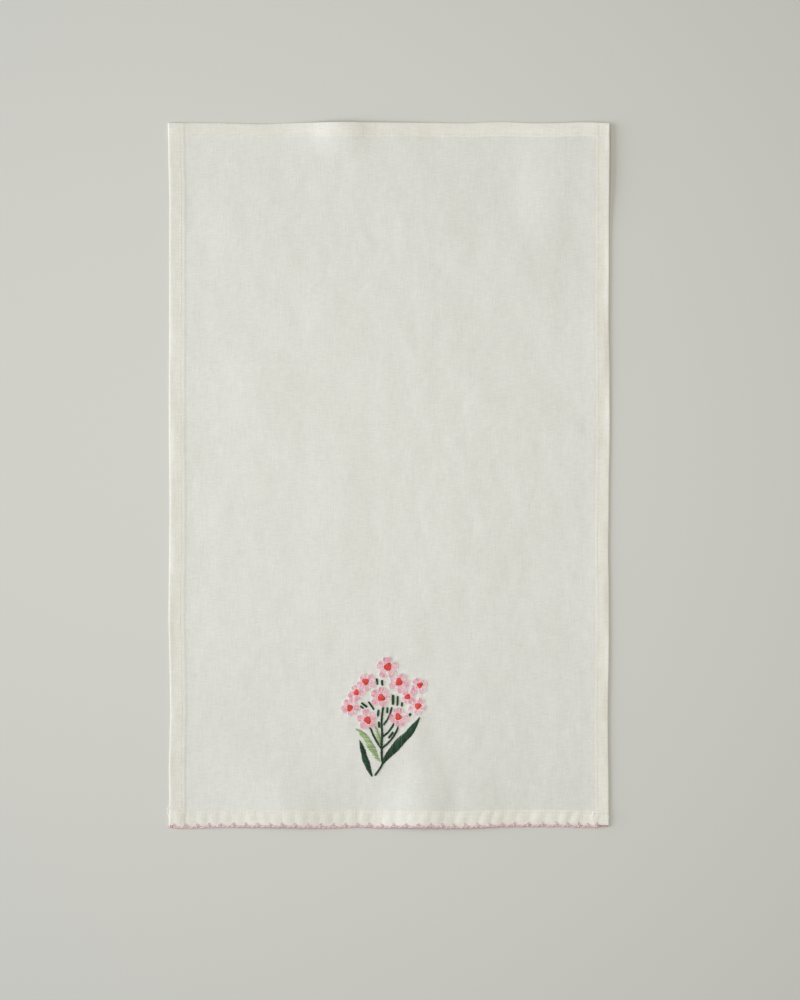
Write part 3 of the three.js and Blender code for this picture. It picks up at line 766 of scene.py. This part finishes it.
def flower_threads(number):
    flower = FLOWERS[number]
    earlier = FLOWERS[:number]
    strands = Strands()

    def free(point):
        return not in_any_flower(point, 0.1, earlier) and not in_heart(flower, point, -0.1)

    for petal in range(flower[3]):
        petal_fill(strands, number, petal, free)
        petal_rim(strands, number, petal, free)
    ring = heart_outline(flower, RING_STITCHES, 0.25)
    for start, end in zip(ring, np.roll(ring, -1, axis=0)):
        if not in_any_flower(start, 0.1, earlier):
            lay_thread(strands, start, end, PETAL_RIM_RADIUS, chance.uniform(0.75, 1), RING_RISE)
    return strands


def chords(outline, turn, pitch):
    """Parallel lines across an outline, as pairs of end points."""
    along = np.array([math.cos(turn), math.sin(turn)])
    across = np.array([-along[1], along[0]])
    u, v = outline @ along, outline @ across
    found = []
    for level in np.arange(v.min() + pitch / 2, v.max(), pitch):
        crossing = []
        for k in range(len(outline)):
            j = (k + 1) % len(outline)
            if (v[k] - level) * (v[j] - level) <= 0 and v[k] != v[j]:
                crossing.append(lerp(u[k], u[j], (level - v[k]) / (v[j] - v[k])))
        if len(crossing) >= 2:
            ends = min(crossing), max(crossing)
            found.append([along * end + across * level for end in ends])
    return found


def heart_threads(number):
    flower = FLOWERS[number]
    strands = Strands()
    turn = math.radians(flower[5]) + chance.uniform(-0.5, 0.5)
    for start, end in chords(heart_outline(flower), turn, HEART_PITCH):
        lay_thread(strands, start, end, HEART_RADIUS, chance.uniform(0.1, 1), HEART_RISE, 0, 0.15)
    return strands


def strip_point(strip, t, across=0.0):
    """A point of a strip: t runs along it, across is in millimetres to its left."""
    from_x, from_y, to_x, to_y, bend, wave, _ = strip
    way = np.array([to_x - from_x, to_y - from_y], float)
    side = np.array([-way[1], way[0]]) / np.hypot(*way)
    bow = wave * math.sin(2 * math.pi * t) - bend * math.sin(math.pi * t)
    return np.array([from_x, from_y]) + way * t + side * (bow + across)


def strip_length(strip):
    return math.hypot(strip[2] - strip[0], strip[3] - strip[1])


def stem_threads(strands, strip):
    """Overlapping stitches that slant a little across the line of the stem."""
    length, wide = strip_length(strip), strip[6]
    at = -0.4
    while at < length - 0.8:
        ends = np.clip(np.array([at, at + chance.uniform(3.2, 4.2)]) / length, 0, 1)
        for lane in (-0.5, 0.5):
            sway = lane * wide * chance.uniform(0.36, 0.56) + chance.uniform(-0.15, 0.15)
            tilt = wide * 0.2
            start = strip_point(strip, ends[0], sway - tilt)
            end = strip_point(strip, ends[1], sway + tilt)
            if not in_any_flower(lerp(start, end, 0.5), -0.2):
                lay_thread(strands, start, end, STEM_RADIUS, chance.uniform(0, 1), STEM_RISE)
        at += STEM_PITCH


def dash_threads(strands, strip):
    """A bar of long threads side by side."""
    wide = strip[6]
    lanes = max(3, round(wide / 0.5))
    for k in range(lanes):
        across = lerp(-0.5, 0.5, k / (lanes - 1)) * (wide - 0.5)
        start = strip_point(strip, chance.uniform(0, 0.1), across)
        end = strip_point(strip, chance.uniform(0.9, 1), across)
        tint, bow = chance.uniform(0, 1), chance.uniform(-0.15, 0.15)
        lay_thread(strands, start, end, DASH_RADIUS, tint, DASH_RISE, bow)


def leaf_threads(strands, strip, slant, ragged):
    """Close threads across a leaf, slanting towards its tip."""
    length, wide = strip_length(strip), strip[6]
    for t in np.arange(0.01, 0.99, LEAF_PITCH / length):
        swell = lerp(LEAF_TIP, 1, math.sin(math.pi * t**0.9))
        half = wide / 2 * swell
        lead = slant * half / length
        far = half * (1 + 0.1 * math.sin(19 * t)) + ragged * chance.uniform(-1, 1)
        near = half * (1 + 0.1 * math.sin(15 * t + 2)) + ragged * chance.uniform(-1, 1)
        left = strip_point(strip, min(t + lead, 1.0), far)
        right = strip_point(strip, max(t - lead, 0.0), -near)
        if not in_any_flower(lerp(left, right, 0.5), -0.2):
            lay_thread(strands, left, right, LEAF_RADIUS, chance.uniform(0, 1), LEAF_RISE)


class Graph:
    """A material's shader nodes, added and joined in short calls."""

    def __init__(self, name):
        self.material = bpy.data.materials.new(name)
        self.material.use_nodes = True
        self.tree = self.material.node_tree
        self.shader = self.tree.nodes["Principled BSDF"]

    def feed(self, socket, value):
        if isinstance(value, bpy.types.NodeSocket):
            self.tree.links.new(value, socket)
        else:
            socket.default_value = value

    def add(self, kind, inputs, **settings):
        node = self.tree.nodes.new(kind)
        for name, value in settings.items():
            setattr(node, name, value)
        for name, value in inputs.items():
            self.feed(node.inputs[name], value)
        return node

    def math(self, operation, *values):
        return self.add("ShaderNodeMath", dict(enumerate(values)), operation=operation).outputs[0]

    def marks(self, name):
        vector = self.add("ShaderNodeAttribute", {}, attribute_name=name).outputs["Vector"]
        return self.add("ShaderNodeSeparateXYZ", {0: vector}).outputs

    def eased(self, value, low, high):
        """0 below low, 1 above high and smooth between."""
        inputs = {"Value": value, "From Min": low, "From Max": high}
        node = self.add("ShaderNodeMapRange", inputs, interpolation_type="SMOOTHSTEP")
        return node.outputs["Result"]

    def noise(self, x, y, z=0.0, detail=1.0):
        vector = self.add("ShaderNodeCombineXYZ", {0: x, 1: y, 2: z}).outputs[0]
        node = self.add("ShaderNodeTexNoise", {"Vector": vector, "Scale": 1.0, "Detail": detail})
        return node.outputs["Fac"]

    def mixed(self, share, first, second):
        node = self.add("ShaderNodeMix", {}, data_type="RGBA")
        self.feed(node.inputs[0], share)
        self.feed(node.inputs[6], first)
        self.feed(node.inputs[7], second)
        return node.outputs[2]

    def scaled(self, colour, amount):
        """A colour times a number."""
        grey = self.add("ShaderNodeCombineColor", {0: amount, 1: amount, 2: amount}).outputs[0]
        node = self.add("ShaderNodeMix", {}, data_type="RGBA", blend_type="MULTIPLY")
        self.feed(node.inputs[0], 1.0)
        self.feed(node.inputs[6], colour)
        self.feed(node.inputs[7], grey)
        return node.outputs[2]

    def bump(self, height, distance):
        inputs = {"Height": height, "Distance": distance * MM, "Strength": 1.0}
        self.feed(self.shader.inputs["Normal"], self.add("ShaderNodeBump", inputs).outputs[0])

    def surface(self, colour, roughness, sheen):
        self.feed(self.shader.inputs["Base Color"], colour)
        self.shader.inputs["Roughness"].default_value = roughness
        self.shader.inputs["Specular IOR Level"].default_value = 0.25
        self.shader.inputs["Sheen Weight"].default_value = sheen
        self.shader.inputs["Sheen Roughness"].default_value = 0.5
        return self.material


def shade(red, green, blue):
    """A colour as seen on a screen, 0 to 255, as the linear colour that the shader takes."""
    def linear(value):
        value /= 255
        return value / 12.92 if value <= 0.04045 else ((value + 0.055) / 1.055) ** 2.4

    return (linear(red), linear(green), linear(blue), 1.0)


THREAD_PITCH = 0.56  # of the weave
FIELD_COLOUR = shade(230.5, 229.8, 226.8)
HEM_COLOUR = shade(234.4, 231.6, 224.2)
PALE_HEM_COLOUR = shade(235.8, 232.2, 227.6)
CORNER_COLOUR = shade(237.7, 234.6, 228)
BASE_BRIGHTNESS = 0.65
# How much each of these adds to the brightness.
THREAD_GAIN = 0.19
# Painted shade that darkens the needle's holes.
HOLE_PAINTED_SHADE = -0.1
# Painted light: the hems are painted paler towards the right, making up for the light from the left
# falling less on the right-hand hem.
RIGHT_HEM_PAINTED_LIGHT = 0.068  # on the hems, growing from nothing at the left to this at the right
MOTTLE_GAIN = 0.04
# Painted shade: the cloth is darker where a thread dips under the others.
WEAVE_PAINTED_SHADE = 0.08
GRAIN_GAIN = 0.18


def weave_height(graph, across, along, column, row):
    """Plain weave: a thread shows where it passes over the others."""
    def passing(own, other, number, phase):
        profile = graph.math("ABSOLUTE", graph.math("SINE", graph.math("MULTIPLY", own, math.pi)))
        turn = graph.math("MULTIPLY_ADD", graph.math("ADD", other, number), math.pi, phase)
        over = graph.math("MULTIPLY_ADD", graph.math("SINE", turn), 0.5, 0.5)
        return graph.math("MULTIPLY", profile, over)

    warp = passing(across, along, column, 0.0)
    weft = passing(along, across, row, math.pi)
    return graph.math("MAXIMUM", warp, weft)


def thread_change(graph, number, travel, length, layer):
    """Each thread has its own thickness and brightness, which change slowly along it."""
    own = graph.math("MULTIPLY", number, 7.31)
    return graph.noise(own, graph.math("DIVIDE", travel, length), layer)


def patches(graph, x, y, wide, high, layer, detail=1.0):
    """Soft irregular patches of about this size."""
    return graph.noise(graph.math("DIVIDE", x, wide), graph.math("DIVIDE", y, high), layer, detail)


def on_hem(graph, gap):
    """1 on a hem and 0 on the field."""
    return graph.math("SUBTRACT", 1.0, graph.eased(gap, HEM_WIDTH - 0.5, HEM_WIDTH + 0.4))


def needle_holes(graph, gap, place, half):
    """1 at the needle's holes, half way between one machine stitch and the next; the cloth's colour is
    darkened there as painted shade.
    """
    beside = graph.math("ABSOLUTE", graph.math("SUBTRACT", gap, SEAM_GAP))
    on_seam = graph.math("SUBTRACT", 1.0, graph.eased(beside, 0.25, 0.6))
    from_hole = graph.math("ADD", place, half - SEAM_START + (SEAM_PITCH - SEAM_LENGTH) / 2)
    wave = graph.math("COSINE", graph.math("MULTIPLY", from_hole, 2 * math.pi / SEAM_PITCH))
    return graph.math("MULTIPLY", on_seam, graph.eased(wave, 0.3, 0.9))


def cloth_colour(graph, x, y, side, end):
    """The field, the patchy hems, and the corners where two hems lie over each other."""
    patch = patches(graph, x, y, 26.0, 26.0, 11.0)
    hem_colour = graph.mixed(graph.eased(patch, 0.4, 0.6), HEM_COLOUR, PALE_HEM_COLOUR)
    colour = graph.mixed(graph.math("MAXIMUM", side, end), FIELD_COLOUR, hem_colour)
    return graph.mixed(graph.math("MULTIPLY", side, end), colour, CORNER_COLOUR)


def cloth_material():
    graph = Graph("woven_cloth")
    x, y, _ = graph.marks("plan")
    across, along = (graph.math("DIVIDE", value, THREAD_PITCH) for value in (x, y))
    column, row = (graph.math("FLOOR", value) for value in (across, along))
    weave = weave_height(graph, across, along, column, row)
    warp_change = thread_change(graph, column, y, 14.0, 3.0)
    weft_change = thread_change(graph, row, x, 8.0, 9.0)
    change = graph.math("ADD", warp_change, weft_change)

    side_gap = graph.math("SUBTRACT", HALF_WIDTH, graph.math("ABSOLUTE", x))
    end_gap = graph.math("SUBTRACT", HALF_LENGTH, graph.math("ABSOLUTE", y))
    side, end = on_hem(graph, side_gap), on_hem(graph, end_gap)
    side_holes = needle_holes(graph, side_gap, y, HALF_LENGTH)
    end_holes = needle_holes(graph, end_gap, x, HALF_WIDTH)
    rightwards = graph.eased(x, -HALF_WIDTH, HALF_WIDTH)

    brightness = BASE_BRIGHTNESS
    for part, gain in (
        (change, THREAD_GAIN),
        # painted shade in the needle's holes
        (graph.math("MAXIMUM", side_holes, end_holes), HOLE_PAINTED_SHADE),
        # painted light on the hems towards the right
        (graph.math("MULTIPLY", graph.math("MAXIMUM", side, end), rightwards), RIGHT_HEM_PAINTED_LIGHT),
        (patches(graph, x, y, 14.0, 14.0, 5.0, 3.0), MOTTLE_GAIN),
        # painted shade in the dips of the weave
        (weave, WEAVE_PAINTED_SHADE),
        (patches(graph, x, y, 0.9, 0.9, 2.0), GRAIN_GAIN),
    ):
        brightness = graph.math("MULTIPLY_ADD", part, gain, brightness)
    colour = graph.scaled(cloth_colour(graph, x, y, side, end), brightness)

    # The cloth is more crumpled towards its right-hand side.
    crumple = patches(graph, x, y, 6.0, 7.0, 8.0)
    crumple = graph.math("MULTIPLY", crumple, graph.math("ADD", graph.eased(x, -150.0, 150.0), 0.7))
    height = graph.math("MULTIPLY_ADD", change, 0.6, weave)
    graph.bump(graph.math("MULTIPLY_ADD", crumple, 0.5, height), 0.07)
    return graph.surface(colour, 0.92, 0.1)


def thread_material(name, shades, turns=2, twist=1.3, roughness=0.5, spots=0.0):
    """A strand of twisted fibres. Its colour runs from dark to pale with the strand's tint, and is
    darkened in the grooves of its twist as painted shade.
    """
    graph = Graph(name)
    dark, middle, pale = (shade(*colour) for colour in shades)
    along, around, tint = graph.marks("strand")
    phase = graph.math("MULTIPLY_ADD", around, turns, graph.math("DIVIDE", along, twist))
    twisted_height = graph.math("ABSOLUTE", graph.math("SINE", graph.math("MULTIPLY", phase, math.pi)))
    fibre = graph.noise(
        graph.math("MULTIPLY", phase, 6.0),
        graph.math("MULTIPLY", along, 0.5),
        graph.math("MULTIPLY", tint, 40.0),
        2.0,
    )
    blotch = graph.noise(graph.math("MULTIPLY", along, 0.35), graph.math("MULTIPLY", tint, 90.0))
    mix = graph.math("ADD", tint, graph.math("MULTIPLY_ADD", blotch, 0.7, -0.35))
    mix = graph.math("ADD", mix, graph.math("MULTIPLY_ADD", fibre, 0.3 + spots, -0.15 - spots / 2))
    low = graph.eased(mix, 0.0, 0.5)
    high = graph.eased(mix, 0.5, 1.0)
    colour = graph.mixed(high, graph.mixed(low, dark, middle), pale)
    # Painted shade: the colour darkens in the grooves between the twisted plies.
    colour = graph.scaled(colour, graph.math("MULTIPLY_ADD", twisted_height, 0.22, 0.82))
    graph.bump(graph.math("ADD", twisted_height, graph.math("MULTIPLY", fibre, 0.5)), 0.08)
    return graph.surface(colour, roughness, 0.15)


def petal_thread():
    return thread_material("petal_thread", [(238, 150, 177), (253, 198, 215), (255, 252, 253)])


def heart_thread():
    return thread_material("heart_thread", [(194, 50, 52), (230, 70, 68), (244, 102, 96)])


def dark_green_thread():
    return thread_material("dark_green_thread", [(14, 38, 24), (28, 66, 42), (46, 88, 58)])


def light_green_thread():
    shades = [(118, 148, 92), (160, 188, 132), (212, 226, 190)]
    return thread_material("light_green_thread", shades)


def sewing_thread():
    shades = [(230, 227, 218), (246, 243, 236), (255, 253, 249)]
    return thread_material("sewing_thread", shades, twist=0.8)


def yarn_material():
    shades = [(214, 162, 175), (234, 195, 206), (248, 226, 232)]
    return thread_material("edge_yarn", shades, turns=3, twist=2.2, roughness=0.75, spots=0.2)


def floor_material():
    graph = Graph("pale_floor")
    return graph.surface(shade(216, 215, 212.5), 0.95, 0.0)


def dress(piece, slot, *nodes):
    """Puts a piece under the root body and lets it stand for these CAD nodes. The slot is not used."""
    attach(piece, "root")
    if nodes:
        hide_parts(*nodes)
    return piece


def add_threads(strands, material, slot, node):
    """Makes one embroidered area, which stands for the CAD node of the same name."""
    dress(strands.made(node + "_threads", material), slot, node)


def add_cloth():
    cloth = dress(towel_cloth(cloth_material()), "cloth", "towel_cloth")
    stitches = dress(hem_stitching(sewing_thread()), "cloth")


def add_flowers():
    petal, heart = petal_thread(), heart_thread()
    for number in range(len(FLOWERS)):
        add_threads(flower_threads(number), petal, "petal_thread", f"flower_{number + 1:02d}")
        add_threads(heart_threads(number), heart, "heart_thread", f"heart_{number + 1:02d}")


def add_stems_and_leaf(material):
    stems = Strands()
    for strip in STEMS:
        stem_threads(stems, strip)
    leaf_threads(stems, LARGE_LEAF, DARK_LEAF_SLANT, DARK_LEAF_RAGGED)
    add_threads(stems, material, "dark_green_thread", "stems_and_leaf")


def add_dark_leaf(material):
    leaf = Strands()
    leaf_threads(leaf, DARK_LEAF, DARK_LEAF_SLANT, DARK_LEAF_RAGGED)
    add_threads(leaf, material, "dark_green_thread", "dark_leaf")


def add_dashes(material):
    for k, strip in enumerate(DASHES):
        bar = Strands()
        dash_threads(bar, strip)
        add_threads(bar, material, "dark_green_thread", f"dash_{k + 1:02d}")


def add_light_leaves(material):
    for k, strip in enumerate(LIGHT_LEAVES):
        leaf = Strands()
        leaf_threads(leaf, strip, LIGHT_LEAF_SLANT, LIGHT_LEAF_RAGGED)
        add_threads(leaf, material, "light_green_thread", f"light_leaf_{k + 1:02d}")


def add_floor():
    mesh = bpy.data.meshes.new("floor")
    half, below = 4.0, -0.0002
    corners = [(-half, -half, below), (half, -half, below), (half, half, below), (-half, half, below)]
    mesh.from_pydata(corners, [], [(0, 1, 2, 3)])
    mesh.materials.append(floor_material())
    floor = bpy.data.objects.new("floor", mesh)
    bpy.context.scene.collection.objects.link(floor)


def add_area_light(name, place, wide, high, power, colour):
    """A light panel turned towards the middle of the cloth."""
    light = bpy.data.lights.new(name, "AREA")
    light.shape = "RECTANGLE"
    light.size = wide
    light.size_y = high
    light.energy = power
    light.color = colour
    lamp = bpy.data.objects.new(name, light)
    lamp.location = place
    x, y, z = place
    lamp.rotation_euler = (math.atan2(math.hypot(x, y), z), 0.0, math.atan2(x, -y))
    lamp.visible_camera = False
    bpy.context.scene.collection.objects.link(lamp)


def add_lights():
    daylight, warm = (0.86, 0.94, 1.0), (1.0, 0.97, 0.86)
    add_area_light("window_side", (-5.8, 0.1, 1.9), 4.8, 3.3, 407, daylight)
    add_area_light("overhead", (-0.11, 0.04, 1.25), 0.8, 0.8, 6.75, warm)
    add_area_light("warm_side", (2.6, -0.3, 1.3), 1.6, 1.6, 7.2, warm)
    world = bpy.data.worlds.new("studio")
    world.use_nodes = True
    background = world.node_tree.nodes["Background"]
    background.inputs["Color"].default_value = (*warm, 1.0)
    background.inputs["Strength"].default_value = 0.235
    bpy.context.scene.world = world
    bpy.context.scene.view_settings.view_transform = "Standard"


def add_camera():
    camera = bpy.data.cameras.new("camera")
    camera.lens = 85
    camera.sensor_width = 36
    view = bpy.data.objects.new("camera", camera)
    view.location = (0.0112, -0.0247, 2.388)
    bpy.context.scene.collection.objects.link(view)
    bpy.context.scene.camera = view


def main():
    add_cloth()
    dress(edge_yarn(yarn_material()), "edge_yarn", "edge_yarn")
    add_flowers()
    dark_green = dark_green_thread()
    light_green = light_green_thread()
    add_stems_and_leaf(dark_green)
    add_dark_leaf(dark_green)
    add_dashes(dark_green)
    add_light_leaves(light_green)
    add_floor()
    add_lights()
    add_camera()


main()
